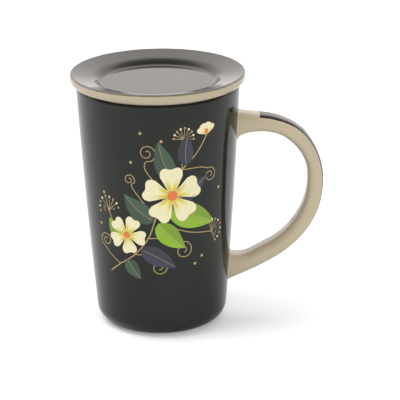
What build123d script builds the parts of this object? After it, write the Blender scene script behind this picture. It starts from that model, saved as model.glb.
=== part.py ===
"""Tea mug with a strap handle, a lift-off saucer lid and a steel infuser basket.

The origin is in the middle of the foot, on the mug's axis. +Z is up and the handle points along +X.
The basket's flange rests on the mug's lip, and the lid rests on the flange.
"""

import os
from math import asin, atan, cos, degrees, hypot, pi, radians, sin, sqrt, tan

from build123d import *

# ---- Driving dimensions: lengths in millimetres, angles in degrees ----

# Mug body, a tapered cup
MUG_HEIGHT = 131.4  # table to lip
MUG_FOOT_RADIUS = 34.3  # the outer wall line, carried down to the table
WALL_LEAN = 3.9  # how far the wall leans outwards, foot to lip
WALL_SWELL = 0.65  # how far the outer wall stands outside a straight line, halfway up
WALL = 4.0  # wall thickness at lip and foot, measured level
FLOOR = 6.0  # floor thickness over the foot ring
BASE_CORNER = 9.5  # round between wall and foot, outside
INNER_CORNER = 9.0  # round between wall and floor, inside
LIP_ROUND = 1.4  # round on either side of the lip
FOOT_RING_WIDTH = 3.0  # level face that stands on the table
FOOT_RECESS = 1.5  # hollow inside the foot ring

# Handle, a strap bent in two arcs between straight runs
HANDLE_REACH = 39.9  # lip to the middle of the strap, where the handle stands out furthest
HANDLE_TOP_DROP = 21.0  # lip down to the middle of the strap at its upper root
HANDLE_LOW_HEIGHT = 25.7  # table up to the middle of the strap at its lower root
HANDLE_BULGE = 0.61  # where it stands out furthest: 0 is the lower root, 1 the upper one
TOP_SLOPE = 7.0  # fall of the upper run, going outwards
LOW_SLOPE = 27.8  # rise of the lower run, going outwards
STRAP_THICKNESS = 8.6
STRAP_WIDTH = 13.0
STRAP_ROUND = 3.2  # round along the strap's edges
TOP_FLARE = 10.0  # hollow round under the upper root
LOW_FLARE = 4.5  # hollow round over the lower root
ROOT_BITE = 0.6  # how far the flares run on inside the wall before it trims them

# Lid, a saucer with a sunk well and a locating ring
LID_THICKNESS = 6.0  # seat to top edge
LID_OVERHANG = 2.9  # beyond the mug's lip
LID_EDGE_ROUND = 0.9  # top edge
LID_UNDER_ROUND = 2.4  # lower edge of the side
RIM_FALL = 3.5  # top edge down to the well's brink
WELL_RADIUS = 30.3  # level floor of the well
WELL_DEPTH = 5.8  # top edge down to the well's floor
WELL_STEP = 3.6  # level run of the step between brink and floor
WELL_ROUND = 7.5  # round at the foot of the step
BRINK_ROUND = 11.5  # soft shoulder where the rim falls into the well
LID_FLOOR = 3.7  # thickness under the well
RING_DEPTH = 5.5  # locating ring, seat down to its foot
RING_WIDTH = 3.5
RING_ROUND = 1.2
RING_GAP = 0.8  # clearance between the ring and the basket's collar

# Infuser basket, all of one gauge of sheet
SHEET = 0.5
WELD_GAP = 0.05  # between sheets welded face to face
BASKET_GAP = 2.6  # clearance between the basket and the mug's wall
BASKET_LIFT = 33.0  # free height under the basket
FLANGE_INSET = 1.0  # flange edge, inside the outer edge of the lip
FLANGE_BEND = 1.0  # round where the flange turns down
RIM_LIP_DEPTH = 6.0  # lip down to the foot of the turned-down part
COLLAR_TOP = 1.5  # lip down to the top of the collar
COLLAR_DEPTH = 14.0  # lip down to the foot of the collar
WALL_TOP = 8.0  # lip down to the top of the perforated wall
LAP_WIDTH = 5.0  # lapped seam in the wall
FOOT_BAND_HEIGHT = 4.5
FOOT_BAND_TURN = 2.5  # width of the band's ledge under the floor
SLOT_WIDTH = 1.8  # slots in the wall
SLOT_HEIGHT = 4.4
SLOT_PITCH = 7.6  # between slots, around and up the wall
HOLE_RADIUS = 1.2  # holes in the floor
HOLE_PITCH = 5.0  # between rings of holes, and along them
HOLE_MARGIN = 2.5  # plain sheet between an opening and a band or seam

# ---- Heights and radii that follow from them ----

SEAT = MUG_HEIGHT + SHEET  # top of the flange, where the lid rests
LID_TOP = SEAT + LID_THICKNESS
BASKET_FOOT = FLOOR + BASKET_LIFT
LAYER = SHEET + WELD_GAP
HALF_CHORD = MUG_HEIGHT / 2 / cos(radians(WALL_LEAN))
WALL_CURVE = (HALF_CHORD**2 + WALL_SWELL**2) / (2 * WALL_SWELL)  # radius of the wall's outward curve
CURVE_HEIGHT = MUG_HEIGHT / 2 + (WALL_CURVE - WALL_SWELL) * sin(radians(WALL_LEAN))  # its centre


def line_radius(z):
    """Radius of the straight line from foot to lip at height z."""
    return MUG_FOOT_RADIUS + z * tan(radians(WALL_LEAN))


def mug_radius(z):
    """Outer radius of the mug's wall at height z."""
    centre = line_radius(MUG_HEIGHT / 2) - (WALL_CURVE - WALL_SWELL) * cos(radians(WALL_LEAN))
    return centre + sqrt(WALL_CURVE**2 - (z - CURVE_HEIGHT) ** 2)


def wall_arc(low, high, inset=0):
    """The outer wall's side view between two heights, moved inwards by an inset."""
    return ThreePointArc(*[(mug_radius(z) - inset, z) for z in (low, (low + high) / 2, high)])


def bore_radius(z):
    """Inner radius of the mug's wall at height z."""
    return line_radius(z) - WALL


def basket_radius(z, layer):
    """Outer radius of one of the basket's sheets at height z, counted inwards.

    Layer 0 is the rim's turned-down part, 1 the collar and the foot band, and 2 the wall.
    """
    return bore_radius(z) - BASKET_GAP - layer * LAYER


def turned(points, rounds=(), curve=None):
    """Turns a closed outline of (radius, height) points about the mug's axis.

    rounds lists the corners to be rounded, each as its point and its radius. A curve, where there is
    one, closes the outline between its last point and its first.
    """
    lines = [Polyline(*points), curve] if curve else Polyline(*points, close=True)
    outline = make_face(lines).face()
    for corner, radius in rounds:
        nearest = outline.vertices().sort_by_distance(Vector(*corner))[0]
        outline = outline.fillet_2d(radius, [nearest])
    return revolve(Plane.XZ * outline, Axis.Z)


def cone_sheet(low, high, layer):
    """A sheet of the basket, as wide as its layer, from height low to height high."""
    outer_low, outer_high = basket_radius(low, layer), basket_radius(high, layer)
    return turned(
        [(outer_low - SHEET, low), (outer_low, low), (outer_high, high), (outer_high - SHEET, high)]
    )


# ---- Mug body and handle ----


def mug_body():
    """The cup: swelling wall, rounded lip and base, and a foot ring round a shallow recess."""
    lip_round = min(LIP_ROUND, 0.4 * WALL)
    lip_outside = (mug_radius(MUG_HEIGHT), MUG_HEIGHT)
    lip_inside = (bore_radius(MUG_HEIGHT), MUG_HEIGHT)
    base = (mug_radius(0), 0)
    well = (bore_radius(FLOOR), FLOOR)
    foot_lean = asin(CURVE_HEIGHT / WALL_CURVE)
    ring_outside = mug_radius(0) - BASE_CORNER * tan(radians(45) - foot_lean / 2)
    recess = (ring_outside - FOOT_RING_WIDTH, FOOT_RECESS)
    outline = [lip_outside, lip_inside, well, (0, FLOOR), (0, FOOT_RECESS), recess, (recess[0], 0), base]
    rounds = [
        (base, BASE_CORNER),
        (well, INNER_CORNER),
        (lip_outside, lip_round),
        (lip_inside, lip_round),
        (recess, FOOT_RECESS / 2),
    ]
    return turned(outline, rounds, wall_arc(0, MUG_HEIGHT))


def handle_arcs():
    """Centres and radii of the strap's upper and lower bend, in the XZ plane.

    Each bend meets its straight run and the upright line through the furthest point.
    """
    top_height = MUG_HEIGHT - HANDLE_TOP_DROP
    top_root = Vector(mug_radius(top_height), top_height)
    low_root = Vector(mug_radius(HANDLE_LOW_HEIGHT), HANDLE_LOW_HEIGHT)
    bulge_height = HANDLE_LOW_HEIGHT + HANDLE_BULGE * (top_height - HANDLE_LOW_HEIGHT)
    furthest = Vector(mug_radius(MUG_HEIGHT) + HANDLE_REACH, bulge_height)
    top_normal = Vector(sin(radians(TOP_SLOPE)), cos(radians(TOP_SLOPE)))
    low_normal = Vector(sin(radians(LOW_SLOPE)), -cos(radians(LOW_SLOPE)))
    top_radius = top_normal.dot(top_root - furthest) / (1 - top_normal.X)
    low_radius = low_normal.dot(low_root - furthest) / (1 - low_normal.X)
    return (
        furthest - Vector(top_radius, 0),
        top_radius,
        furthest - Vector(low_radius, 0),
        low_radius,
    )


def strap_edge(offset):
    """One edge of the strap in side view, offset outwards from its middle, from axis to axis."""
    top_centre, top_radius, low_centre, low_radius = handle_arcs()
    top_arc = CenterArc(top_centre, top_radius + offset, 0, 90 - TOP_SLOPE)
    low_arc = CenterArc(low_centre, low_radius + offset, LOW_SLOPE - 90, 90 - LOW_SLOPE)
    top, low = top_arc @ 1, low_arc @ 0
    top_end = (0, top.Y + top.X * tan(radians(TOP_SLOPE)))
    low_end = (0, low.Y - low.X * tan(radians(LOW_SLOPE)))
    return [Line(top_end, top), top_arc, low_arc, Line(low, low_end)]


def mug_side(inset):
    """Half of the mug's side view, drawn long, from its axis to its wall line less an inset."""
    low, high = -HANDLE_REACH, MUG_HEIGHT + HANDLE_REACH
    wall = wall_arc(low, high, inset)
    return make_face([wall, Polyline(wall @ 1, (0, high), (0, low), wall @ 0)])


def handle():
    """The strap handle, with a hollow flare at each root, trimmed to the mug's wall."""
    outer, inner = strap_edge(STRAP_THICKNESS / 2), strap_edge(-STRAP_THICKNESS / 2)
    ends = [Line(outer[0] @ 0, inner[0] @ 0), Line(inner[-1] @ 1, outer[-1] @ 1)]
    strap = make_face(outer + inner + ends)
    low_reach = mug_radius(HANDLE_LOW_HEIGHT)
    bite = ROOT_BITE + low_reach - sqrt(low_reach**2 - (STRAP_WIDTH / 2) ** 2)
    outline = (strap + mug_side(bite)).face()
    flares = [
        (-1, inner[0] @ 1, 90 - TOP_SLOPE + WALL_LEAN, TOP_FLARE),
        (0, inner[-1] @ 0, 90 - LOW_SLOPE - WALL_LEAN, LOW_FLARE),
    ]
    for end, bend, corner, flare in flares:
        root = outline.inner_wires()[0].vertices().sort_by(Axis.X)[:2].sort_by(Axis.Y)[end]
        straight = (bend - root.center()).length
        outline = outline.fillet_2d(min(flare, 0.95 * straight * tan(radians(corner / 2))), [root])
    blank = extrude(Plane.XZ * outline, STRAP_WIDTH / 2, both=True)
    long_edges = []
    for side in blank.faces().filter_by(Axis.Y):
        long_edges += side.inner_wires()[0].edges()
        for edge in side.outer_wire().edges():
            middle = edge @ 0.5
            if middle.X > mug_radius(middle.Z) - bite / 2:
                long_edges.append(edge)
    rounded = fillet(long_edges, min(STRAP_ROUND, 0.4 * STRAP_THICKNESS))
    return rounded - revolve(Plane.XZ * mug_side(0), Axis.Z)


# ---- Lid ----


def lid():
    """The saucer lid: sloping rim, sunk well, and a ring below that locates it in the basket."""
    edge = mug_radius(MUG_HEIGHT) + LID_OVERHANG
    well = (WELL_RADIUS, LID_TOP - WELL_DEPTH)
    brink = (WELL_RADIUS + WELL_STEP, LID_TOP - RIM_FALL)
    ring_foot = SEAT - RING_DEPTH
    ring_outside = basket_radius(ring_foot, 1) - SHEET - RING_GAP
    ring_inside = ring_outside - RING_WIDTH
    underside = LID_TOP - WELL_DEPTH - LID_FLOOR
    ring_round = min(RING_ROUND, 0.4 * RING_WIDTH, 0.4 * (underside - ring_foot))
    step_slope = atan((WELL_DEPTH - RIM_FALL) / WELL_STEP)
    turn = step_slope - atan(RIM_FALL / (edge - brink[0]))
    room = 0.95 * hypot(WELL_STEP, WELL_DEPTH - RIM_FALL)
    share = min(1, room / (BRINK_ROUND * tan(turn / 2) + WELL_ROUND * tan(step_slope / 2)))
    outline = [
        (0, LID_TOP - WELL_DEPTH),
        well,
        brink,
        (edge, LID_TOP),
        (edge, SEAT),
        (ring_outside, SEAT),
        (ring_outside, ring_foot),
        (ring_inside, ring_foot),
        (ring_inside, underside),
        (0, underside),
    ]
    rounds = [
        (well, share * WELL_ROUND),
        (brink, share * BRINK_ROUND),
        ((edge, LID_TOP), LID_EDGE_ROUND),
        ((edge, SEAT), LID_UNDER_ROUND),
        ((ring_outside, ring_foot), ring_round),
        ((ring_inside, ring_foot), ring_round),
        ((ring_inside, underside), ring_round),
    ]
    return turned(outline, rounds)


# ---- Infuser basket ----


def infuser_rim():
    """The flange that rests on the lip, turned down into the mouth."""
    flange = mug_radius(MUG_HEIGHT) - FLANGE_INSET
    foot = MUG_HEIGHT - RIM_LIP_DEPTH
    bend_outside = (basket_radius(SEAT, 0) - SHEET, SEAT)
    bend_inside = (basket_radius(MUG_HEIGHT, 0), MUG_HEIGHT)
    outline = [
        (flange, MUG_HEIGHT),
        (flange, SEAT),
        bend_outside,
        (basket_radius(foot, 0) - SHEET, foot),
        (basket_radius(foot, 0), foot),
        bend_inside,
    ]
    return turned(outline, [(bend_outside, FLANGE_BEND + SHEET), (bend_inside, FLANGE_BEND)])


def infuser_collar():
    """The plain band inside the rim, which carries the wall."""
    return cone_sheet(MUG_HEIGHT - COLLAR_DEPTH, MUG_HEIGHT - COLLAR_TOP, 1)


def wall_slots(low, high):
    """Plugs for the slots between two heights, in staggered rows that leave the seam plain."""
    rows = int((high - low) / SLOT_PITCH) + 1
    columns = int(2 * pi * basket_radius(low, 2) / SLOT_PITCH)
    seam = degrees((LAP_WIDTH / 2 + HOLE_MARGIN) / basket_radius(low, 2))
    plug = Box(6 * SHEET, SLOT_WIDTH, SLOT_HEIGHT)
    plugs = []
    for row in range(rows):
        height = low + (row + 0.5) * (high - low) / rows
        for column in range(columns):
            angle = 360 * (column + row % 2 / 2) / columns
            if seam < angle < 360 - seam:
                across = basket_radius(height, 2) - SHEET / 2
                plugs.append(Rot(0, 0, angle) * Pos(across, 0, height) * plug)
    return plugs


def infuser_wall():
    """The slotted sheet, rolled to a cone and lapped on its inside at the seam."""
    foot, top = BASKET_FOOT + 2 * SHEET, MUG_HEIGHT - WALL_TOP
    outer_foot, outer_top = basket_radius(foot, 2), basket_radius(top, 2)
    lap_ring = turned(
        [
            (outer_foot - 2 * SHEET, foot),
            (outer_foot - SHEET / 2, foot),
            (outer_top - SHEET / 2, top),
            (outer_top - 2 * SHEET, top),
        ]
    )
    lap = lap_ring & Pos(outer_top, 0, (foot + top) / 2) * Box(outer_top, LAP_WIDTH, top - foot)
    slots_low = BASKET_FOOT + FOOT_BAND_HEIGHT + HOLE_MARGIN
    slots_high = MUG_HEIGHT - COLLAR_DEPTH - HOLE_MARGIN
    return cone_sheet(foot, top, 2) + lap - wall_slots(slots_low, slots_high)


def infuser_foot_band():
    """The angle band round the foot of the wall, with a ledge that carries the floor."""
    top = BASKET_FOOT + FOOT_BAND_HEIGHT
    ledge = BASKET_FOOT + SHEET
    inner_edge = basket_radius(ledge, 1) - SHEET - FOOT_BAND_TURN
    corner = (basket_radius(BASKET_FOOT, 1), BASKET_FOOT)
    outline = [
        corner,
        (basket_radius(top, 1), top),
        (basket_radius(top, 1) - SHEET, top),
        (basket_radius(ledge, 1) - SHEET, ledge),
        (inner_edge, ledge),
        (inner_edge, BASKET_FOOT),
    ]
    return turned(outline, [(corner, 0.8 * SHEET)])


def infuser_floor():
    """The perforated disc that lies on the foot band's ledge, under the wall."""
    radius = basket_radius(BASKET_FOOT + SHEET, 2)
    middle = BASKET_FOOT + 1.5 * SHEET
    plug = Cylinder(HOLE_RADIUS, 3 * SHEET)
    plugs = [Pos(0, 0, middle) * plug]
    rings = int((radius - FOOT_BAND_TURN - HOLE_MARGIN) / HOLE_PITCH)
    for ring in range(1, rings + 1):
        for place in PolarLocations(ring * HOLE_PITCH, 6 * ring):
            plugs.append(Pos(0, 0, middle) * place * plug)
    return Pos(0, 0, middle) * Cylinder(radius, SHEET) - plugs


SUBPARTS = {
    "mug_body": mug_body,
    "handle": handle,
    "lid": lid,
    "infuser_rim": infuser_rim,
    "infuser_collar": infuser_collar,
    "infuser_wall": infuser_wall,
    "infuser_foot_band": infuser_foot_band,
    "infuser_floor": infuser_floor,
}


def main():
    os.makedirs("parts", exist_ok=True)
    for name, make in SUBPARTS.items():
        export_step(make(), f"parts/{name}.step")


main()
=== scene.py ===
"""Dresses the lidded tea mug: glazed cup, handle and lid, steel basket, printed sprig, and a plain stage."""

from math import acos, asin, atan2, ceil, cos, exp, pi, radians, sin, sqrt, tan

import bmesh
import bpy
from mathutils import Matrix, Vector


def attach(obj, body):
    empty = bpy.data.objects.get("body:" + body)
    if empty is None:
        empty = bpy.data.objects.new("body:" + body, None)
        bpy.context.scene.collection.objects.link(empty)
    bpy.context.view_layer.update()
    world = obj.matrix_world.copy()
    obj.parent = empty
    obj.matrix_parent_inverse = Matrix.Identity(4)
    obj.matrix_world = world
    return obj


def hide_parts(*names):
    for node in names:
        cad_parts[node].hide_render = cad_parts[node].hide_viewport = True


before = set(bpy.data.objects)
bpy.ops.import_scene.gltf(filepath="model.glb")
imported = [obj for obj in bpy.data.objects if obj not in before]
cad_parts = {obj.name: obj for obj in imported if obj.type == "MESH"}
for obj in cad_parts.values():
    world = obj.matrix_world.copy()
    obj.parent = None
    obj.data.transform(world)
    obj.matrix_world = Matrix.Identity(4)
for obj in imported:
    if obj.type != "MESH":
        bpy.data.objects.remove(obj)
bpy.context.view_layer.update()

bl_info = {
    "name": "Lidded tea mug",
    "version": (1, 0, 0),
    "blender": (4, 5, 0),
    "location": "3D View > Sidebar > Tea mug",
    "description": "Builds the glazed, printed and steel surfaces of a lidded tea mug on its packed frame",
    "category": "Add Mesh",
}

MM = 0.001
FULL_TURN = 2 * pi


# ---- Sizes and colours that a user can change ----


def decimal(name, value, description, **limits):
    return bpy.props.FloatProperty(name=name, description=description, default=value, **limits)


def length(name, millimetres, description):
    """A length property, given in millimetres and held in metres."""
    return decimal(name, millimetres * MM, description, precision=5, unit="LENGTH")


def angle(name, degrees, description):
    return decimal(name, radians(degrees), description, subtype="ANGLE")


def share(name, value, description, low=0.0, high=1.0):
    return decimal(name, value, description, min=low, max=high)


def count(name, value, description):
    return bpy.props.IntProperty(name=name, description=description, default=value, min=3)


def colour(name, rgb, description):
    return bpy.props.FloatVectorProperty(
        name=name, description=description, default=rgb, size=3, min=0, max=1, subtype="COLOR"
    )


class CupSizes(bpy.types.PropertyGroup):
    height: length("Height", 131.4, "Table to lip")
    foot_radius: length("Foot radius", 34.3, "The outer wall line, carried down to the table")
    lean: angle("Lean", 3.9, "How far the wall leans outwards, foot to lip")
    swell: length("Swell", 0.65, "How far the outer wall stands outside a straight line, halfway up")
    wall: length("Wall", 4.0, "Wall thickness, measured level")
    floor: length("Floor", 6.0, "Floor thickness over the foot ring")
    base_corner: length("Base corner", 9.5, "Round between wall and foot, outside")
    inner_corner: length("Inner corner", 9.0, "Round between wall and floor, inside")
    lip_round: length("Lip round", 1.4, "Round on either side of the lip")
    foot_width: length("Foot ring width", 3.0, "Level face that stands on the table")
    foot_recess: length("Foot recess", 1.5, "Hollow inside the foot ring")
    segments: count("Segments", 192, "Faces round the cup")


class HandleSizes(bpy.types.PropertyGroup):
    reach: length("Reach", 39.9, "Lip to the middle of the strap, where it stands out furthest")
    top_drop: length("Top drop", 21.0, "Lip down to the strap's middle at its upper root")
    low_height: length("Low height", 25.7, "Table up to the strap's middle at its lower root")
    bulge: share("Bulge", 0.61, "Height of the furthest point between the lower and the upper root")
    top_slope: angle("Top slope", 7.0, "Fall of the upper run, going outwards")
    low_slope: angle("Low slope", 27.8, "Rise of the lower run, going outwards")
    thickness: length("Strap thickness", 8.6, "Inner to outer face")
    width: length("Strap width", 13.0, "Side to side")
    edge_round: length("Edge round", 4.1, "Round along the strap's edges")
    top_hollow: length("Top hollow", 21.0, "Run of the hollow under the upper root, along the strap")
    hollow_drop: length("Top hollow drop", 6.0, "Run of that hollow down the wall")
    top_swell: length("Top swell", 1.6, "Extra thickness under the upper root")
    shoulder: length("Shoulder", 0.5, "How far the upper bend stands out beyond its plain arc")
    low_hollow: length("Low hollow", 13.0, "Hollow round over the lower root")
    low_valley: length("Low valley", 5.0, "Wall to the lowest point of that hollow")
    low_swell: length("Low swell", 1.0, "Extra thickness on the outer face of the lower run")
    luting: length("Luting", 0.5, "Small hollow round where the strap meets the wall")
    stripe_start: length("Stripe start", 53.0, "Distance of the stripe's cut end from the mug's axis")
    stripe_wrap: length("Stripe wrap", 5.8, "Half width of the stripe at its start, measured round the strap")
    stripe_wrap_far: length("Stripe wrap beyond", 4.9, "Half width of the stripe from its first bend on")
    stripe_taper: length("Stripe taper", 30.0, "Run over which the stripe narrows")
    stripe_stop: length("Stripe stop", 9.0, "Pale run left at the lower root")


class LidSizes(bpy.types.PropertyGroup):
    thickness: length("Thickness", 5.92, "Seat to top edge")
    overhang: length("Overhang", 2.9, "Beyond the mug's lip")
    edge_round: length("Edge round", 0.9, "Round on the top edge")
    under_round: length("Under round", 3.2, "Round on the lower edge of the side")
    rim_fall: length("Rim fall", 2.8, "Top edge down to the well's brink")
    well_radius: length("Well radius", 30.3, "Level floor of the well")
    well_depth: length("Well depth", 5.5, "Top edge down to the well's floor")
    well_step: length("Well step", 3.2, "Level run of the step between brink and floor")
    well_round: length("Well round", 4.0, "Round at the foot of the step")
    brink_round: length("Brink round", 9.0, "Soft shoulder where the rim falls into the well")
    floor: length("Floor", 3.7, "Thickness under the well")
    ring_depth: length("Ring depth", 5.5, "Seat down to the locating ring's foot")
    ring_width: length("Ring width", 3.5, "Thickness of the locating ring")
    ring_round: length("Ring round", 0.8, "Rounds on the locating ring")
    ring_gap: length("Ring gap", 0.8, "Clearance between ring and collar")
    segments: count("Segments", 192, "Faces round the lid")


class BasketSizes(bpy.types.PropertyGroup):
    sheet: length("Sheet", 0.5, "Gauge of the steel")
    weld_gap: length("Weld gap", 0.05, "Between sheets welded face to face")
    gap: length("Gap", 2.6, "Clearance between basket and wall")
    lift: length("Lift", 33.0, "Free height under the basket")
    wall_top: length("Wall top", 8.0, "Lip down to the top of the perforated wall")
    plain_edge: length("Plain edge", 5.0, "Unpierced strip along the wall's foot")
    plain_top: length("Plain top", 8.0, "Unpierced strip along the wall's top")
    seam_width: length("Seam width", 8.0, "Unpierced strip along the lapped seam")
    lap: length("Lap", 5.0, "Width over which the seam's edges overlap")
    hem: length("Hem", 5.0, "Unpierced strip round the floor")
    pitch: length("Hole pitch", 2.5, "Between neighbouring holes")
    open_share: share("Open share", 0.54, "Hole width as a share of the pitch")
    ring_welds: count("Ring welds", 24, "Weld spots round the rim and round the foot")
    rim_weld_drop: length("Rim weld drop", 4.6, "Lip down to the rim's weld spots")
    foot_weld_height: length("Foot weld height", 2.6, "Basket foot up to its weld spots")
    weld_size: length("Weld size", 2.2, "Width of a weld spot")


class PrintSizes(bpy.types.PropertyGroup):
    lift: length("Lift", 0.018, "Height of the lowest layer of enamel above the glaze")
    layer: length("Layer", 0.012, "Step from one layer of enamel to the next")
    line: length("Line", 0.42, "Width of the drawn lines")
    middle: length("Middle", 77.5, "Height of the print's middle")
    scale: share("Scale", 1.08, "Size of the print", 0.5, 1.2)
    turn: angle("Turn", 0.0, "Place of the print round the cup, from the front")


class Colours(bpy.types.PropertyGroup):
    dark: colour("Dark glaze", (0.0046, 0.0064, 0.0036), "Glaze of the wall, lid top and stripe")
    pale: colour("Pale glaze", (0.475, 0.40, 0.277), "Glaze of the handle and the inside")
    # The lid's side and underside take a darker copy of the pale glaze: painted shade that holds the
    # front-lit side down
    side: colour("Lid side", (0.42, 0.353, 0.245), "Pale glaze of the lid's side and underside")
    thin: colour("Thin glaze", (0.115, 0.068, 0.036), "Dark glaze where it runs thin over an edge")
    edge: colour("Lid edge", (0.13, 0.11, 0.085), "Pale glaze of the lid's edge, with a trace of the dark")
    clay: colour("Bare clay", (0.52, 0.44, 0.34), "Unglazed foot")
    steel: colour("Steel", (0.46, 0.455, 0.445), "Stainless sheet")
    gold: colour("Gold line", (0.42, 0.30, 0.12), "Drawn lines of the print")
    petal: colour("Petal", (0.80, 0.74, 0.47), "Outer part of a petal")
    petal_heart: colour("Petal heart", (0.66, 0.56, 0.03), "Inner part of a petal")
    stamen: colour("Stamens", (0.72, 0.17, 0.045), "Middle of a blossom")
    lime: colour("Lime leaf", (0.24, 0.42, 0.012), "Bright leaves")
    teal: colour("Teal leaf", (0.042, 0.085, 0.05), "Deep green leaves")
    navy: colour("Navy leaf", (0.028, 0.03, 0.055), "Blue leaves")


class StageSizes(bpy.types.PropertyGroup):
    focal_length: decimal("Focal length", 187.29, "Lens of the camera, in millimetres")
    distance: length("Camera distance", 1117.0, "Camera to the middle of the mug")
    target_height: length("Target height", 65.0, "Height that the camera is aimed from")
    elevation: angle("Elevation", 19.28, "Camera above the level of its target")
    roll: angle("Roll", 1.12, "Turn of the picture about its middle")
    aside: share("Aside", -0.0998, "Target beside the picture's middle, over its width", -1, 1)
    above: share("Above", -0.00345, "Target over the picture's middle, over its width", -1, 1)
    floor_size: length("Floor size", 6000.0, "Side of the floor")
    floor_colour: colour("Floor", (0.80, 0.80, 0.80), "Pale floor")
    gloss_tint: colour("Gloss tint", (1.0, 0.93, 0.915), "Tint of the room as the gloss sees it")
    floor_glow: share("Floor glow", 0.2, "What the floor adds to its own light towards the camera", 0, 5)
    room_light: share("Room light", 0.5, "Strength of the even light from all round", 0, 5)
    light_size: length("Light size", 1000.0, "Side of each soft light")
    left_power: decimal("Left light", 15.2, "Power of the soft light on the left, in watts", min=0)
    back_power: decimal("Back light", 7.9, "Power of the soft light behind on the right, in watts", min=0)
    front_power: decimal("Front light", 7.4, "Power of the soft light in front on the right, in watts", min=0)


GROUPS = {
    "mug_cup": CupSizes,
    "mug_handle": HandleSizes,
    "mug_lid": LidSizes,
    "mug_basket": BasketSizes,
    "mug_print": PrintSizes,
    "mug_colours": Colours,
    "mug_stage": StageSizes,
}


# ---- Node trees ----


def sign(operation, swapped=False):
    """The method behind one of Python's signs."""
    if swapped:
        return lambda self, other: self.maths(operation, other, self)
    return lambda self, other=0.0: self.maths(operation, self, other)


class Wire:
    """An output in a node tree. Python's own signs on it add the Math nodes."""

    def __init__(self, net, socket):
        self.net, self.socket = net, socket

    def maths(self, operation, first, second=0.0):
        return self.net.add("ShaderNodeMath", {0: first, 1: second}, operation=operation)

    __add__, __radd__ = sign("ADD"), sign("ADD", swapped=True)
    __sub__, __rsub__ = sign("SUBTRACT"), sign("SUBTRACT", swapped=True)
    __mul__, __rmul__ = sign("MULTIPLY"), sign("MULTIPLY", swapped=True)
    __truediv__, __pow__, __abs__ = sign("DIVIDE"), sign("POWER"), sign("ABSOLUTE")
    __gt__, __lt__ = sign("GREATER_THAN"), sign("LESS_THAN")
    least, most = sign("MINIMUM"), sign("MAXIMUM")

    def ramp(self, start, stop):
        """0 before start, 1 after stop, and smooth between them. The two may be in either order."""
        sockets = {"Value": self, "From Min": start, "From Max": stop}
        return self.net.add("ShaderNodeMapRange", sockets, interpolation_type="SMOOTHSTEP")


class Net:
    """A node tree, and the one way to add a node to it."""

    def __init__(self, tree):
        self.tree = tree
        tree.nodes.clear()

    def add(self, kind, sockets=None, out=0, **settings):
        """Adds a node: its settings first, then its sockets by name or number. Gives one of its outputs."""
        node = self.tree.nodes.new(kind)
        for name, value in settings.items():
            if name == "stops":
                self.set_stops(node.color_ramp, value)
            else:
                setattr(node, name, value)
        for name, value in (sockets or {}).items():
            if isinstance(value, Wire):
                self.tree.links.new(value.socket, node.inputs[name])
            else:
                node.inputs[name].default_value = value
        return Wire(self, node.outputs[out]) if len(node.outputs) else None

    @staticmethod
    def set_stops(ramp, stops):
        while len(ramp.elements) < len(stops):
            ramp.elements.new(0.5)
        for element, (place, rgb) in zip(ramp.elements, stops):
            element.position, element.color = place, (*rgb, 1.0)

    def mix(self, factor, first, second):
        """A colour between two others."""
        sockets = {0: factor, 6: solid(first), 7: solid(second)}
        return self.add("ShaderNodeMix", sockets, out=2, data_type="RGBA")

    def place(self):
        """Object coordinates."""
        return self.add("ShaderNodeTexCoord", out="Object")

    def split(self, vector):
        outputs = self.add("ShaderNodeSeparateXYZ", {0: vector}).socket.node.outputs
        return [Wire(self, socket) for socket in outputs]

    def join(self, x, y, z):
        return self.add("ShaderNodeCombineXYZ", {0: x, 1: y, 2: z})

    def noise(self, vector, scale, detail=2.0, roughness=0.5):
        sockets = {"Vector": vector, "Scale": scale, "Detail": detail, "Roughness": roughness}
        return self.add("ShaderNodeTexNoise", sockets, out="Fac")

    def wobble(self, vector, scale, width):
        """An uneven distance to either side of 0, which makes a glaze's edge run as a brush leaves it."""
        return (self.noise(vector, scale) - 0.5) * width

    def attribute(self, name, out="Fac"):
        return self.add("ShaderNodeAttribute", out=out, attribute_name=name)

    def bump(self, height, depth):
        """A bump of that depth in metres for a height of 0 to 1."""
        return self.add("ShaderNodeBump", {"Strength": 1.0, "Distance": depth, "Height": height})

    def finish(self, colour, roughness, normal, **others):
        """Ends a material's tree with its one shader."""
        sockets = {"Base Color": colour, "Roughness": roughness, "Normal": normal, **others}
        self.add("ShaderNodeOutputMaterial", {"Surface": self.add("ShaderNodeBsdfPrincipled", sockets)})


def solid(value):
    """A colour with its alpha, where it is a plain colour and not a wire."""
    return value if isinstance(value, Wire) else (*value[:3], 1.0)


def new_material(name):
    """A material, its net and the object coordinates in that net."""
    material = bpy.data.materials.new(name)
    material.use_nodes = True
    net = Net(material.node_tree)
    return material, net, net.place()


# ---- Finishes ----


def glaze_surface(net, place):
    """The roughness and fine unevenness that all the glazes share."""
    orange_peel = net.noise(place, 900.0, 1.0)
    rolling = net.noise(place, 70.0, 1.0)
    smears = net.noise(place, 160.0, 3.0, 0.6)
    return 0.055 + 0.05 * smears, net.bump(orange_peel * 0.12 + rolling, 0.04 * MM)


def pale_tone(net, place, pale):
    """Pale glaze, faintly clouded."""
    clouds = net.noise(place, 38.0, 3.0)
    return net.mix(clouds, [c * 0.94 for c in pale], [min(1, c * 1.05) for c in pale])


def dark_tone(net, place, colours):
    """Near-black glaze with a faint olive cloud in its depth."""
    clouds = net.noise(place, 55.0, 4.0)
    return net.mix(clouds, [c * 0.75 for c in colours.dark], [c * 1.35 for c in colours.dark])


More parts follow.
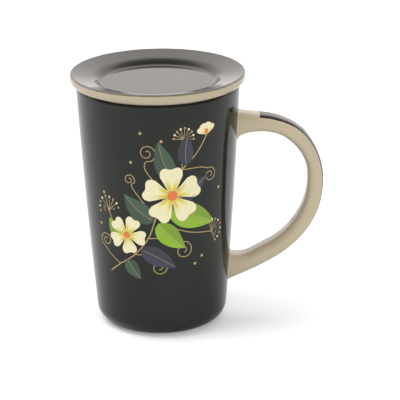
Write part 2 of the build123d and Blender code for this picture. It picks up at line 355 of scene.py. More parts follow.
def cup_glaze(colours):
    """Dark outside and pale inside, thin and brown on the lip, and bare clay under the foot."""
    material, net, place = new_material("cup_glaze")
    height = net.split(place)[2]
    wobble = net.wobble(place, 260.0, 0.9 * MM)
    run = net.attribute("run") + wobble
    inside = run.ramp(-0.1 * MM, 0.1 * MM)
    thin = abs(run + 0.35 * MM).ramp(1.1 * MM, 0.1 * MM)
    dark = net.mix(thin * 0.8, dark_tone(net, place, colours), colours.thin)
    glazed = net.mix(inside, dark, pale_tone(net, place, colours.pale))
    bare = (height + wobble * 0.4).ramp(0.75 * MM, 0.55 * MM)
    grain = net.noise(place, 2600.0, 3.0, 0.7)
    clay = net.mix(grain, [c * 0.8 for c in colours.clay], colours.clay)
    roughness, bump = glaze_surface(net, place)
    net.finish(net.mix(bare, glazed, clay), roughness * (1 - bare) + bare * 0.85, bump, IOR=1.4)
    return material


def lid_glaze(colours):
    """Dark top that ends at the edge, and pale side and underside."""
    material, net, place = new_material("lid_glaze")
    run = net.attribute("run") + net.wobble(place, 300.0, 0.5 * MM)
    pale = run.ramp(-0.08 * MM, 0.08 * MM)
    thin = (run - 0.9 * MM).ramp(0.25 * MM, -0.25 * MM)
    # Side and underside take the Lid side colour, a darker copy of the pale glaze: painted shade. Next to the
    # dark top they take the lid's edge colour, a trace of the dark glaze.
    worn = net.mix(thin, pale_tone(net, place, colours.side), colours.edge)
    roughness, bump = glaze_surface(net, place)
    net.finish(net.mix(pale, dark_tone(net, place, colours), worn), roughness, bump, IOR=1.5)
    return material


def handle_glaze(colours):
    """Pale glaze with the dark stripe along the strap's spine."""
    material, net, place = new_material("handle_glaze")
    wobble = net.wobble(place, 420.0, 0.5 * MM)
    stripe = net.attribute("across").least(net.attribute("along")) + wobble
    inside = stripe.ramp(-0.12 * MM, 0.12 * MM)
    fringe = abs(stripe).ramp(0.55 * MM, 0.1 * MM)
    dark = net.mix(fringe * 0.55, dark_tone(net, place, colours), colours.thin)
    roughness, bump = glaze_surface(net, place)
    net.finish(net.mix(inside, pale_tone(net, place, colours.pale), dark), roughness, bump, IOR=1.5)
    return material


def enamel(colours):
    """The print's colours, a little less glossy than the glaze and very slightly worn."""
    material, net, place = new_material("print_enamel")
    mottle = net.noise(place, 700.0, 3.0, 0.6)
    ink = net.mix(mottle * 0.16, net.attribute("ink", out="Color"), colours.dark)
    net.finish(ink, 0.12 + 0.1 * mottle, net.bump(mottle, 0.01 * MM), IOR=1.5)
    return material


def brushed_steel(name, colours, darker=1.0):
    """Satin sheet, brushed round the basket, with faint stains."""
    material, net, place = new_material(name)
    x, y, z = net.split(place)
    across = (x * x + y * y) ** 0.5
    lines = net.noise(net.join(x * 12.0, y * 12.0, (z + across) * 2600.0), 1.0, 3.0, 0.65)
    stains = net.noise(place, 45.0, 3.0)
    tone = [c * darker for c in colours.steel]
    brushed = net.mix(lines * 0.5, tone, [c * 0.78 for c in tone])
    stained = net.mix(stains.ramp(0.45, 0.8) * 0.25, brushed, [c * 0.8 for c in tone])
    net.finish(stained, 0.24 + 0.14 * lines + 0.06 * stains, net.bump(lines, 0.008 * MM), Metallic=1.0)
    return material


# ---- Meshes ----


def rounded(corners, steps=10):
    """Points along a line of (radius, height) corners. A corner with a third number is rounded by it."""
    points = []
    for number, corner in enumerate(corners):
        here = Vector(corner[:2])
        if len(corner) == 2:
            points.append(here)
            continue
        before = (Vector(corners[number - 1][:2]) - here).normalized()
        after = (Vector(corners[number + 1][:2]) - here).normalized()
        half = acos(max(-1.0, min(1.0, before.dot(after)))) / 2
        centre = here + (before + after).normalized() * (corner[2] / sin(half))
        start = here + before * (corner[2] / tan(half)) - centre
        stop = here + after * (corner[2] / tan(half)) - centre
        sweep = pi - 2 * half
        if start.x * stop.y - start.y * stop.x < 0:
            sweep = -sweep
        for step in range(steps + 1):
            points.append(centre + turned(start, sweep * step / steps))
    return points


def turned(vector, turn):
    return Vector(
        (vector.x * cos(turn) - vector.y * sin(turn), vector.x * sin(turn) + vector.y * cos(turn))
    )


def spaced(points, longest, close=0.15 * MM):
    """The same line with its long runs divided, and with a point just inside each end of them."""
    result = [points[0]]
    for start, stop in zip(points, points[1:]):
        run = (stop - start).length
        if run > 4 * close:
            parts = max(1, ceil(run / longest))
            shares = [close / run] + [part / parts for part in range(1, parts)] + [1 - close / run]
            result += [start.lerp(stop, part) for part in shares]
        result.append(stop)
    return result


def lengths_along(points, zero):
    """How far along the line each point lies, counted from the point nearest to zero."""
    runs = [0.0]
    for start, stop in zip(points, points[1:]):
        runs.append(runs[-1] + (stop - start).length)
    nearest = min(range(len(points)), key=lambda number: (points[number] - zero).length)
    return [run - runs[nearest] for run in runs]


def new_mesh(name, spots, faces, **marks):
    """A mesh, with a number for each of its points under the name of each mark."""
    mesh = bpy.data.meshes.new(name)
    mesh.from_pydata(spots, [], faces)
    for mark, values in marks.items():
        mesh.attributes.new(mark, "FLOAT", "POINT").data.foreach_set("value", values)
    return mesh


def new_object(name, data):
    thing = bpy.data.objects.new(name, data)
    bpy.context.scene.collection.objects.link(thing)
    return thing


def new_piece(name, mesh, materials, body, sharp=None):
    """A smooth object that rides on a body. Edges sharper than an angle, where one is given, stay sharp."""
    for material in materials:
        mesh.materials.append(material)
    mesh.polygons.foreach_set("use_smooth", [True] * len(mesh.polygons))
    if sharp:
        mesh.set_sharp_from_angle(angle=radians(sharp))
    piece = new_object(name, mesh)
    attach(piece, body)
    return piece


def closed_up(mesh, merge=1e-7):
    """The mesh with its doubles merged and every face pointed outwards."""
    work = bmesh.new()
    work.from_mesh(mesh)
    bmesh.ops.remove_doubles(work, verts=work.verts, dist=merge)
    bmesh.ops.recalc_face_normals(work, faces=work.faces)
    work.to_mesh(mesh)
    work.free()
    return mesh


def lathe(name, points, segments, zero):
    """Turns a line that starts and ends on the axis. Its mark "run" is the way along the line from zero."""
    runs = lengths_along(points, zero)
    spots, ways, rings = [], [], []
    for point, run in zip(points, runs):
        if point.x < 1e-7:
            rings.append([len(spots)] * segments)
            spots.append((0, 0, point.y))
            ways.append(run)
            continue
        rings.append(list(range(len(spots), len(spots) + segments)))
        for segment in range(segments):
            turn = FULL_TURN * segment / segments
            spots.append((point.x * cos(turn), point.x * sin(turn), point.y))
            ways.append(run)
    faces = []
    for low, high in zip(rings, rings[1:]):
        for segment in range(segments):
            after = (segment + 1) % segments
            corners = [low[segment], low[after], high[after], high[segment]]
            face = [c for n, c in enumerate(corners) if c != corners[n - 1]]
            if len(face) > 2:
                faces.append(face)
    return closed_up(new_mesh(name, spots, faces, run=ways))


def line_radius(cup, z):
    """Radius of the straight line from the cup's foot to its lip at height z."""
    return cup.foot_radius + z * tan(cup.lean)


def cup_radius(cup, z):
    """Outer radius of the cup's swelling wall at height z."""
    half_chord = cup.height / 2 / cos(cup.lean)
    curve = (half_chord**2 + cup.swell**2) / (2 * cup.swell)
    height = cup.height / 2 + (curve - cup.swell) * sin(cup.lean)
    centre = line_radius(cup, cup.height / 2) - (curve - cup.swell) * cos(cup.lean)
    return centre + sqrt(curve**2 - (z - height) ** 2)


def basket_radius(cup, basket, z, layer):
    """Outer radius of one of the basket's sheets at height z, counted inwards."""
    return line_radius(cup, z) - cup.wall - basket.gap - layer * (basket.sheet + basket.weld_gap)


FOOT_EDGE_ROUND = 0.25 * MM  # inner edge of the level face that stands on the table
SEAT_ROUND = 0.4 * MM  # where the lid's seat turns down into its ring


class MUG_OT_cup(bpy.types.Operator):
    """Turns the glazed cup: tapered wall, rounded lip and base, and a bare foot ring"""

    bl_idname = "mug.cup"
    bl_label = "Cup"

    def execute(self, context):
        scene = context.scene
        cup = scene.mug_cup
        ring_outside = cup.foot_radius - cup.base_corner * tan(radians(45) - cup.lean / 2)
        ring_inside = ring_outside - cup.foot_width
        lip = cup_radius(cup, cup.height)
        steps = 40
        wall = [cup.height * step / steps for step in range(4, steps - 1)]
        line = rounded(
            [
                (0, cup.foot_recess),
                (ring_inside, cup.foot_recess, cup.foot_recess / 2),
                (ring_inside, 0, FOOT_EDGE_ROUND),
                (cup.foot_radius, 0, cup.base_corner),
                *[(cup_radius(cup, z), z) for z in wall],
                (lip, cup.height, cup.lip_round),
                (lip - cup.wall, cup.height, cup.lip_round),
                (line_radius(cup, cup.floor) - cup.wall, cup.floor, cup.inner_corner),
                (0, cup.floor),
            ],
            steps=14,
        )
        lip_middle = Vector((lip - cup.wall / 2, cup.height))
        mesh = lathe("cup", spaced(line, 4 * MM), cup.segments, lip_middle)
        piece = new_piece("cup", mesh, [cup_glaze(scene.mug_colours)], "mug")
        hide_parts("mug_body")
        return {"FINISHED"}


class MUG_OT_handle(bpy.types.Operator):
    """Bends the strap handle, flared and luted at its roots, with the stripe's place marked on it"""

    bl_idname = "mug.handle"
    bl_label = "Handle"

    def execute(self, context):
        scene = context.scene
        mesh = strap_mesh(scene.mug_cup, scene.mug_handle)
        piece = new_piece("strap_handle", mesh, [handle_glaze(scene.mug_colours)], "mug")
        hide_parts("handle")
        return {"FINISHED"}


def strap_bends(cup, strap):
    """The upper and lower bend of the strap's middle line, each as (normal of its run, centre, radius)."""
    top_height = cup.height - strap.top_drop
    top_root = Vector((cup_radius(cup, top_height), top_height))
    low_root = Vector((cup_radius(cup, strap.low_height), strap.low_height))
    reach = cup_radius(cup, cup.height) + strap.reach
    furthest = Vector((reach, strap.low_height + strap.bulge * (top_height - strap.low_height)))
    top_normal = Vector((sin(strap.top_slope), cos(strap.top_slope)))
    low_normal = Vector((sin(strap.low_slope), -cos(strap.low_slope)))
    bends = []
    for root, normal in ((top_root, top_normal), (low_root, low_normal)):
        radius = normal.dot(root - furthest) / (1 - normal.x)
        bends.append((normal, furthest - Vector((radius, 0)), radius))
    return bends


def root_corner(cup, bend, towards, up, tries=8):
    """Where an edge of the strap, carried on from its bend, meets the wall, and the way on along the wall."""
    reach = 0.0
    for _ in range(tries):
        spot = bend + towards * reach
        reach -= (spot.x - cup_radius(cup, spot.y)) / towards.x
    corner = bend + towards * reach
    rise = cup_radius(cup, corner.y + MM) - cup_radius(cup, corner.y - MM)
    return corner, Vector((rise, 2 * MM)).normalized() * up


def shares_of_run(steps=26):
    """Shares of a run from bend to wall, closer together towards the wall."""
    return [1 - (1 - step / steps) ** 1.5 for step in range(steps + 1)]


def run_and_hollow(bend, towards, straight, centre, start, radius, sweep):
    """Points along a straight run from its bend, and on along a hollow round from its start."""
    points = []
    for part in shares_of_run():
        way = (straight + radius * abs(sweep)) * part
        if way < straight:
            points.append(bend + towards * way)
        else:
            turn = (way - straight) / radius
            points.append(centre + turned(start - centre, turn if sweep > 0 else -turn))
    return points


def luted_edge(cup, bend, towards, up, hollow):
    """The strap's outer edge from its bend to the wall, which it meets in a small hollow round."""
    corner, wall = root_corner(cup, bend, towards, up)
    half = acos(-towards.dot(wall)) / 2
    centre = corner + (wall - towards).normalized() * (hollow / sin(half))
    start = corner - towards * (hollow / tan(half))
    arm, aim = start - centre, corner - centre
    sweep = (pi - 2 * half) * (1 if arm.x * aim.y > arm.y * aim.x else -1)
    straight = (corner - bend).length - hollow / tan(half)
    return run_and_hollow(bend, towards, straight, centre, start, hollow, sweep)


def drawn_edge(cup, bend, towards, along, down):
    """The inner edge under the upper root: a hollow that runs further along the strap than down the wall."""
    corner, wall = root_corner(cup, bend, towards, -1)
    reach = (corner - bend).length
    along = min(along, reach)
    points = []
    for part in shares_of_run():
        left = reach * (1 - part)
        drop = down * (1 - sqrt(min(1.0, left / along))) ** 2
        points.append(corner - towards * left + wall * drop)
    return points


def valley_edge(cup, bend, towards, hollow, valley):
    """The inner edge over the lower root: a wide hollow round that meets the wall at an angle."""
    corner, _ = root_corner(cup, bend, towards, 1)
    slope = atan2(-towards.y, -towards.x)
    centre = Vector((corner.x + valley, 0))
    centre.y = corner.y + (valley + hollow * sin(slope)) * tan(slope) + hollow * cos(slope)
    start = centre + Vector((sin(slope), -cos(slope))) * hollow
    sweep = slope + asin((centre.x - cup_radius(cup, centre.y - hollow)) / hollow)
    return run_and_hollow(bend, towards, (start - bend).length, centre, start, hollow, -sweep)


def drawn_out(pairs, strap, upper):
    """The pairs of one half, wall first, as a hand leaves them: a full shoulder, and a swelling low down.

    Each span over which a form comes or goes is in millimetres along the strap from the wall.
    """
    way, before, result = 0.0, None, []
    for outer, inner in pairs:
        middle = (outer + inner) / 2
        way += (middle - before).length / MM if before else 0.0
        before = middle
        if upper:
            fullness = 0.8 * smooth(52, 36, way) + 0.7 * smooth(20, 31, way) * smooth(44, 31, way)
            out = fullness * strap.shoulder
            under_shoulder = strap.shoulder * smooth(18, 28, way) * smooth(60, 50, way)
            into = under_shoulder - strap.top_swell * smooth(21, 0, way)
        else:
            thinned = 1 - 0.55 * smooth(18, 36, way)
            out = thinned * smooth(0, 16, way) * smooth(70, 56, way) * strap.low_swell
            into = 0.0
        normal = (outer - inner).normalized()
        result.append((outer + normal * out, inner + normal * into))
    return result


def strap_stations(cup, strap, steps=48):
    """Pairs of an outer and an inner point in side view, from the upper root to the lower one."""
    half = strap.thickness / 2
    halves = []
    for (normal, centre, radius), up in zip(strap_bends(cup, strap), (1, -1)):
        towards = Vector((-normal.y, normal.x)) * up
        outer = luted_edge(cup, centre + normal * (radius + half), towards, up, strap.luting)
        bend_inside = centre + normal * (radius - half)
        if up == 1:
            inner = drawn_edge(cup, bend_inside, towards, strap.top_hollow, strap.hollow_drop)
        else:
            inner = valley_edge(cup, bend_inside, towards, strap.low_hollow, strap.low_valley)
        pairs = list(zip(outer, inner))[::-1]
        full = atan2(normal.y, normal.x)
        for step in range(1, steps):
            out = polar(full * (1 - step / steps), 1.0)
            pairs.append((centre + out * (radius + half), centre + out * (radius - half)))
        halves.append(drawn_out(pairs, strap, up == 1))
    return halves[0] + halves[1][::-1]


def strap_section(half_height, half_width, edge_round, steps=8):
    """Points round the strap as (outwards, sideways, way round from the middle of the outer face)."""
    edge_round = min(edge_round, half_height - 0.05 * MM)
    flat_out, flat_across = half_height - edge_round, half_width - edge_round
    corners = []
    for start, side_out, side_across in ((0, 1, 1), (90, -1, 1), (180, -1, -1), (270, 1, -1)):
        out, across = flat_out * side_out, flat_across * side_across
        turns = [radians(start + 90 * step / steps) for step in range(steps + 1)]
        corners.append([(out + edge_round * cos(turn), across + edge_round * sin(turn)) for turn in turns])
    section = []
    for corner, after in zip(corners, corners[1:] + corners[:1]):
        section += corner
        (out, across), (next_out, next_across) = corner[-1], after[0]
        for part in (0.04, 0.25, 0.5, 0.75, 0.96):
            section.append((out + (next_out - out) * part, across + (next_across - across) * part))
    marked = []
    quarter = edge_round * pi / 2
    for out, across in section:
        beyond, drop = abs(across) - flat_across, half_height - out
        if beyond <= 1e-9:
            way = abs(across) if out > 0 else flat_across + 2 * (quarter + flat_out) + flat_across
        elif drop < edge_round:
            way = flat_across + edge_round * atan2(beyond, edge_round - drop)
        else:
            way = flat_across + quarter + drop - edge_round
        marked.append((out, across, way))
    return marked


WRAP_REACH = 12 * MM  # run over which the strap's ends bend round the cup
END_DEPTH = 0.15 * MM  # how far its end faces lie inside the glaze


def strap_mesh(cup, strap):
    """Skins the strap. Its marks "across" and "along" are the distances inside the stripe's edges."""
    stations = strap_stations(cup, strap)
    middles = [(outer + inner) / 2 for outer, inner in stations]
    ways = [0.0]
    for before, after in zip(middles, middles[1:]):
        ways.append(ways[-1] + (after - before).length)
    first = next(n for n, middle in enumerate(middles) if middle.x > strap.stripe_start)
    start = ways[first] - (middles[first].x - strap.stripe_start)
    stop = ways[-1] - strap.stripe_stop
    spots, across_marks, along_marks, rings = [], [], [], []
    for number, ((outer, inner), middle, way) in enumerate(zip(stations, middles, ways)):
        normal = (outer - inner).normalized()
        gap = middle.x - cup_radius(cup, middle.y)
        past = max(0.0, min(1.0, 1 - gap / strap.luting))
        half_width = strap.width / 2 + strap.luting * (1 - sqrt(1 - past**2))
        narrowed = smooth(start, start + strap.stripe_taper, way)
        wrap = strap.stripe_wrap + (strap.stripe_wrap_far - strap.stripe_wrap) * narrowed
        ring = []
        for out, across, round_way in strap_section((outer - inner).length / 2, half_width, strap.edge_round):
            point = middle + normal * out
            wall = cup_radius(cup, point.y)
            near = max(0.0, 1 - (point.x - wall) / WRAP_REACH) ** 2
            sunk = END_DEPTH if number in (0, len(stations) - 1) else 0.0
            ring.append(len(spots))
            spots.append((point.x - (wall - sqrt(wall**2 - across**2)) * near - sunk, across, point.y))
            across_marks.append(wrap - round_way)
            along_marks.append(min(way - start, stop - way))
        rings.append(ring)
    faces = [rings[0][::-1], rings[-1]]
    for low, high in zip(rings, rings[1:]):
        for n in range(len(low)):
            after = (n + 1) % len(low)
            faces.append((low[n], low[after], high[after], high[n]))
    return closed_up(new_mesh("strap_handle", spots, faces, across=across_marks, along=along_marks))


class MUG_OT_lid(bpy.types.Operator):
    """Turns the glazed lid: sloping rim, sunk well, and a locating ring below"""

    bl_idname = "mug.lid"
    bl_label = "Lid"

    def execute(self, context):
        scene = context.scene
        cup, lid, basket = scene.mug_cup, scene.mug_lid, scene.mug_basket
        seat = cup.height + basket.sheet
        top = seat + lid.thickness
        edge = cup_radius(cup, cup.height) + lid.overhang
        ring_foot = seat - lid.ring_depth
        ring_outside = basket_radius(cup, basket, ring_foot, 1) - basket.sheet - lid.ring_gap
        ring_inside = ring_outside - lid.ring_width
        underside = top - lid.well_depth - lid.floor
        line = rounded(
            [
                (0, top - lid.well_depth),
                (lid.well_radius, top - lid.well_depth, lid.well_round),
                (lid.well_radius + lid.well_step, top - lid.rim_fall, lid.brink_round),
                (edge, top, lid.edge_round),
                (edge, seat, lid.under_round),
                (ring_outside, seat, SEAT_ROUND),
                (ring_outside, ring_foot, lid.ring_round),
                (ring_inside, ring_foot, lid.ring_round),
                (ring_inside, underside, lid.ring_round),
                (0, underside),
            ],
            steps=12,
        )
        glaze_end = Vector((edge - lid.edge_round / 2, top - lid.edge_round / 5))
        mesh = lathe("lid_dish", spaced(line, 3 * MM), lid.segments, glaze_end)
        piece = new_piece("lid_dish", mesh, [lid_glaze(scene.mug_colours)], "lid")
        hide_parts("lid")
        return {"FINISHED"}


# ---- What follows a rule: perforated sheets and weld spots ----


class Rule(Net):
    """A geometry tree with named sizes, which makes a mesh out of an optional starting mesh."""

    def __init__(self, name, **sizes):
        super().__init__(bpy.data.node_groups.new(name, "GeometryNodeTree"))
        self.name, self.values = name, sizes
        sockets = self.tree.interface
        sockets.new_socket("Geometry", in_out="OUTPUT", socket_type="NodeSocketGeometry")
        sockets.new_socket("Geometry", in_out="INPUT", socket_type="NodeSocketGeometry")
        for label, value in sizes.items():
            kind = "NodeSocketInt" if isinstance(value, int) else "NodeSocketFloat"
            sockets.new_socket(label, in_out="INPUT", socket_type=kind)
        entry = self.tree.nodes.new("NodeGroupInput")
        self.start = Wire(self, entry.outputs["Geometry"])
        self.sizes = [Wire(self, entry.outputs[label]) for label in sizes]

    def number(self):
        """The number of each point."""
        return self.add("GeometryNodeInputIndex")

    def staggered(self, across):
        """The column and row of each point, in rows of a length. Every other row is half a column on."""
        number = self.number()
        row = number.maths("FLOOR", (number + 0.5) / across)
        return number - row * across + 0.5 * row.maths("MODULO", row, 2.0), row

    def round_axis(self, radius, turn, height):
        """A place given by its distance from the upright axis, its turn about it and its height."""
        return self.join(radius * turn.maths("COSINE", turn), radius * turn.maths("SINE", turn), height)

    def points(self, count, position):
        points = self.add("GeometryNodePoints", {"Count": count})
        return self.add("GeometryNodeSetPosition", {"Geometry": points, "Position": position})

    def placed(self, points, shape, **sockets):
        """A copy of the shape on each point."""
        return self.add("GeometryNodeInstanceOnPoints", {"Points": points, "Instance": shape, **sockets})

    def together(self, *shapes):
        """All the shapes as one real geometry."""
        node = self.tree.nodes.new("GeometryNodeJoinGeometry")
        for shape in shapes:
            self.tree.links.new(shape.socket, node.inputs[0])
        joined = Wire(self, node.outputs[0])
        return self.add("GeometryNodeRealizeInstances", {"Geometry": joined})

    def mesh(self, geometry, material, start=None, sheet=0.0):
        """The finished mesh. A sheet's thickness goes inwards from its faces."""
        real = self.add("GeometryNodeRealizeInstances", {"Geometry": geometry})
        painted = self.add("GeometryNodeSetMaterial", {"Geometry": real, "Material": material})
        self.add("NodeGroupOutput", {"Geometry": painted})
        host = new_object(self.name, start or bpy.data.meshes.new(self.name))
        modifier = host.modifiers.new("rule", "NODES")
        modifier.node_group = self.tree
        for socket in self.tree.interface.items_tree:
            if socket.in_out == "INPUT" and socket.name in self.values:
                modifier[socket.identifier] = self.values[socket.name]
        if sheet:
            gauge = host.modifiers.new("gauge", "SOLIDIFY")
            gauge.thickness, gauge.offset = sheet, -1
        shaped = host.evaluated_get(bpy.context.evaluated_depsgraph_get())
        mesh = bpy.data.meshes.new_from_object(shaped)
        host.modifiers.clear()
        bpy.data.objects.remove(host)
        return mesh


def pierced_cell(open_share, row_share):
    """One cell of a perforated sheet, a column wide and a row high: a hexagon with a round hole."""
    corners = [(0.5, 1 / 3), (0, 2 / 3), (-0.5, 1 / 3), (-0.5, -1 / 3), (0, -2 / 3), (0.5, -1 / 3)]
    hole = [radians(30 + 30 * n) for n in range(12)]
    spots = [(u, v, 0) for u, v in corners]
    spots += [(open_share / 2 * cos(turn), open_share / 2 * sin(turn) / row_share, 0) for turn in hole]
    faces = []
    for n in range(6):
        far, near = 6 + (2 * n + 2) % 12, 6 + 2 * n
        faces.append((n, (n + 1) % 6, far, near + 1, near))
    return new_mesh("pierced_cell", spots, faces)


def perforated_wall(cup, basket, material):
    """The wall's sheet, rolled to a cone: staggered round holes, plain edges, and a lapped plain seam."""
    foot = basket_foot(cup, basket) + 2 * basket.sheet
    top = cup.height - basket.wall_top
    low_radius, high_radius = (basket_radius(cup, basket, z, 2) for z in (foot, top))
    columns = round(pi * (low_radius + high_radius) / basket.pitch)
    rows = round((top - foot) / (basket.pitch * cos(radians(30))))
    rule = Rule(
        "perforated_wall",
        columns=columns,
        rows=rows,
        foot=foot,
        top=top,
        foot_radius=low_radius,
        top_radius=high_radius,
        plain_foot=basket.plain_edge,
        plain_top=basket.plain_top,
        seam=basket.seam_width,
        lap=basket.lap,
        lap_inset=basket.sheet + basket.weld_gap,
    )
    across, up, low, high, foot_r, top_r, plain_foot, plain_top, seam, lap, inset = rule.sizes

    def bent(geometry, column, row, inwards):
        """Rolls flat columns and rows to the cone."""
        share_up = ((row + 1 / 3) / (up - 1 / 3)).most(0.0).least(1.0)
        radius = foot_r + share_up * (top_r - foot_r) - inwards
        turn = FULL_TURN * column / across
        place = rule.round_axis(radius, turn, low + share_up * (high - low))
        return rule.add("GeometryNodeSetPosition", {"Geometry": geometry, "Position": place})

    column, row = rule.staggered(across)
    height = low + (row + 1 / 3) / (up - 1 / 3) * (high - low)
    from_seam = column.least(across - column) * FULL_TURN * foot_r / across
    pierced = (height > low + plain_foot) * (height < high - plain_top) * (from_seam > seam / 2)
    points = rule.points(across * up, rule.join(column, row, 0.0))
    hexagon = rule.add("GeometryNodeMeshCircle", {"Vertices": 6, "Radius": 1.0}, fill_type="NGON")
    upright = rule.add("GeometryNodeTransform", {"Geometry": hexagon, "Rotation": (0, 0, radians(30))})
    plain = rule.add("GeometryNodeTransform", {"Geometry": upright, "Scale": (1 / sqrt(3), 2 / 3, 1)})
    holed_cells = rule.placed(points, rule.start, Selection=pierced)
    cells = rule.together(holed_cells, rule.placed(points, plain, Selection=1 - pierced))
    flat = rule.split(rule.add("GeometryNodeInputPosition"))
    sheet = bent(cells, flat[0], flat[1], 0.0)
    strip_size = {"Size X": 1.0, "Size Y": up - 1 / 3, "Vertices X": 9, "Vertices Y": 40}
    strip = rule.add("GeometryNodeMeshGrid", strip_size)
    lap_columns = lap * across / (FULL_TURN * foot_r)
    lapped = bent(strip, flat[0] * lap_columns, flat[1] + (up - 1) / 2, inset)
    both = rule.together(sheet, lapped)
    merged = rule.add("GeometryNodeMergeByDistance", {"Geometry": both, "Distance": 0.01 * MM})
    row_share = (top - foot) / (rows - 1 / 3) * columns / (pi * (low_radius + high_radius))
    return rule.mesh(merged, material, pierced_cell(basket.open_share, row_share), basket.sheet)


def sieve_disc(radius, height, basket, material):
    """A flat perforated disc with a plain hem."""
    rule = Rule(
        "sieve_disc",
        radius=radius,
        height=height,
        hem=basket.hem,
        pitch=basket.pitch,
        hole=basket.open_share * basket.pitch,
        reach=ceil(radius / basket.pitch),
    )
    outer, level, hem, pitch, hole, reach = rule.sizes
    line = 2 * reach + 1
    column, row = rule.staggered(line)
    x, y = (column - reach) * pitch, (row - reach) * pitch * cos(radians(30))
    inside = (x * x + y * y) ** 0.5 < outer - hem
    points = rule.points(line * line, rule.join(x, y, 0.0))
    ring = rule.add("GeometryNodeCurvePrimitiveCircle", {"Resolution": 12, "Radius": hole / 2})
    edge = rule.add("GeometryNodeCurvePrimitiveCircle", {"Resolution": 144, "Radius": outer})
    outlines = rule.together(rule.placed(points, ring, Selection=inside), edge)
    disc = rule.add("GeometryNodeFillCurve", {"Curve": outlines})
    lift = rule.join(0.0, 0.0, level)
    raised = rule.add("GeometryNodeSetPosition", {"Geometry": disc, "Offset": lift})
    return rule.mesh(raised, material, sheet=basket.sheet)


def weld_spots(material, **sizes):
    """Shallow round weld spots, each a turn and a rise on from the one before it."""
    rule = Rule("weld_spots", **sizes)
    count, radius, height, turn, rise, lean, size = rule.sizes
    number = rule.number()
    way = number * turn
    place = rule.round_axis(radius + number * rise * lean, way, height + number * rise)
    button = rule.add("GeometryNodeMeshUVSphere", {"Segments": 12, "Rings": 6, "Radius": 0.5})
    facing, scale = rule.join(0.0, radians(90), way), rule.join(size, size, size * 0.1)
    spots = rule.placed(rule.points(count, place), button, Rotation=facing, Scale=scale)
    return rule.mesh(spots, material)


def basket_foot(cup, basket):
    return cup.floor + basket.lift


class MUG_OT_basket(bpy.types.Operator):
    """Perforates the infuser's wall and floor, and finishes its plain bands"""

    bl_idname = "mug.basket"
    bl_label = "Basket"

    def execute(self, context):
        scene = context.scene
        cup, basket = scene.mug_cup, scene.mug_basket
        band_steel = brushed_steel("band_steel", scene.mug_colours)
        sieve_steel = brushed_steel("sieve_steel", scene.mug_colours, 0.95)
        for node in ("infuser_rim", "infuser_collar", "infuser_foot_band"):
            for material_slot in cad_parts[node].material_slots:
                material_slot.material = band_steel
        wall = perforated_wall(cup, basket, sieve_steel)
        piece = new_piece("pierced_wall", wall, [], "infuser", sharp=35)
        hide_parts("infuser_wall")
        ledge = basket_foot(cup, basket) + basket.sheet
        disc = sieve_disc(basket_radius(cup, basket, ledge, 2), ledge + basket.sheet, basket, sieve_steel)
        piece = new_piece("pierced_floor", disc, [], "infuser", sharp=35)
        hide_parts("infuser_floor")
        return {"FINISHED"}


class MUG_OT_welds(bpy.types.Operator):
    """Sets the weld spots round the infuser's rim and foot and up its seam"""

    bl_idname = "mug.welds"
    bl_label = "Weld spots"

    def execute(self, context):
        scene = context.scene
        cup, basket = scene.mug_cup, scene.mug_basket
        steel = brushed_steel("weld_steel", scene.mug_colours, 0.82)
        lip = cup.height - basket.rim_weld_drop
        foot = basket_foot(cup, basket) + basket.foot_weld_height
        spacing = 8 * MM
        seam = basket_foot(cup, basket) + basket.plain_edge + spacing
        around = basket.ring_welds
        rows = (
            ("rim_welds", around, lip, 0, FULL_TURN / around, 0.0),
            ("foot_welds", around, foot, 1, FULL_TURN / around, 0.0),
            ("seam_welds", 8, seam, 2, 0.0, spacing),
        )
        for name, number, height, layer, turn, rise in rows:
            mesh = weld_spots(
                steel,
                count=number,
                radius=basket_radius(cup, basket, height, layer),
                height=height,
                turn=turn,
                rise=rise,
                lean=tan(cup.lean),
                size=basket.weld_size,
            )
            new_piece(name, mesh, [], "infuser")
        return {"FINISHED"}


# ---- The print: a sprig of rounded blossoms, in enamel on the wall ----


